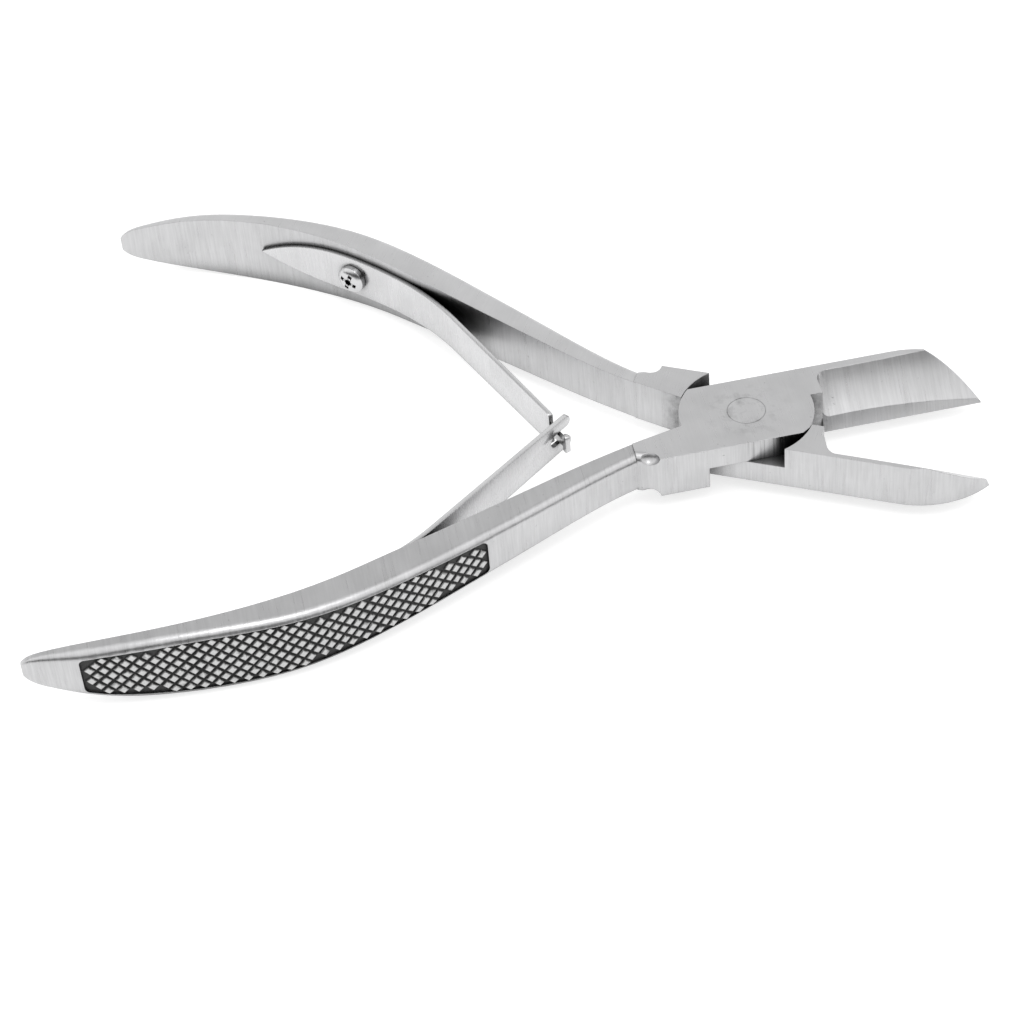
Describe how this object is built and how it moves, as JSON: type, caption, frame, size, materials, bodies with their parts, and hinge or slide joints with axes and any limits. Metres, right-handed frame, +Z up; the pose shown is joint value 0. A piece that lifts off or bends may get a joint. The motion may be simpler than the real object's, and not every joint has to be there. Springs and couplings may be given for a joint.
{
  "type": "sprue nippers",
  "caption": "Steel flush cutting nippers: crossed levers on a riveted lap joint, hollow ground jaws, bowed knurled handles and hooked leaf springs.",
  "frame": {"origin": "where the pivot axis meets the joint's bottom face", "axes": "+X towards the jaws, +Y towards the rear handle, +Z up along the pivot"},
  "size_m": [0.1471, 0.1056, 0.0129],
  "materials": {
    "lever_steel": "ground stainless steel, satin, with fine grinding marks",
    "rivet_steel": "ground flush with the joint",
    "spring_steel": "smooth rolled spring strip",
    "screw_steel": "bright pan head screw",
    "grip_black": "blackened knurled panel with worn bright tops"
  },
  "bodies": {
    "front": {"front_lever": "lever_steel", "pivot_rivet": "rivet_steel", "front_spring_base": "spring_steel", "front_spring_screw": "screw_steel"},
    "rear": {"rear_lever": "lever_steel", "rear_spring_base": "spring_steel", "rear_spring_screw": "screw_steel"},
    "front_blade": {"front_spring_blade": "spring_steel"},
    "rear_blade": {"rear_spring_blade": "spring_steel"}
  },
  "joints": [
    {"name": "pivot", "type": "hinge", "parent": "front", "child": "rear", "pos_m": [0, 0, 0], "axis": [0, 0, 1], "range_deg": [0, 28.7], "stiffness_Nm_per_rad": 0.9, "springref_deg": -14.32},
    {"name": "front_flex", "type": "hinge", "parent": "front", "child": "front_blade", "pos_m": [-0.05283, -0.02998, 0.00435], "axis": [0, 0, 1], "range_deg": [-13.88, 0.5]},
    {"name": "rear_flex", "type": "hinge", "parent": "rear", "child": "rear_blade", "pos_m": [-0.05283, 0.02998, 0.00435], "axis": [0, 0, 1], "range_deg": [-0.5, 13.88]}
  ],
  "couplings": [
    {"joint": "front_flex", "follows": "pivot", "ratio": -0.473},
    {"joint": "rear_flex", "follows": "pivot", "ratio": 0.473}
  ]
}
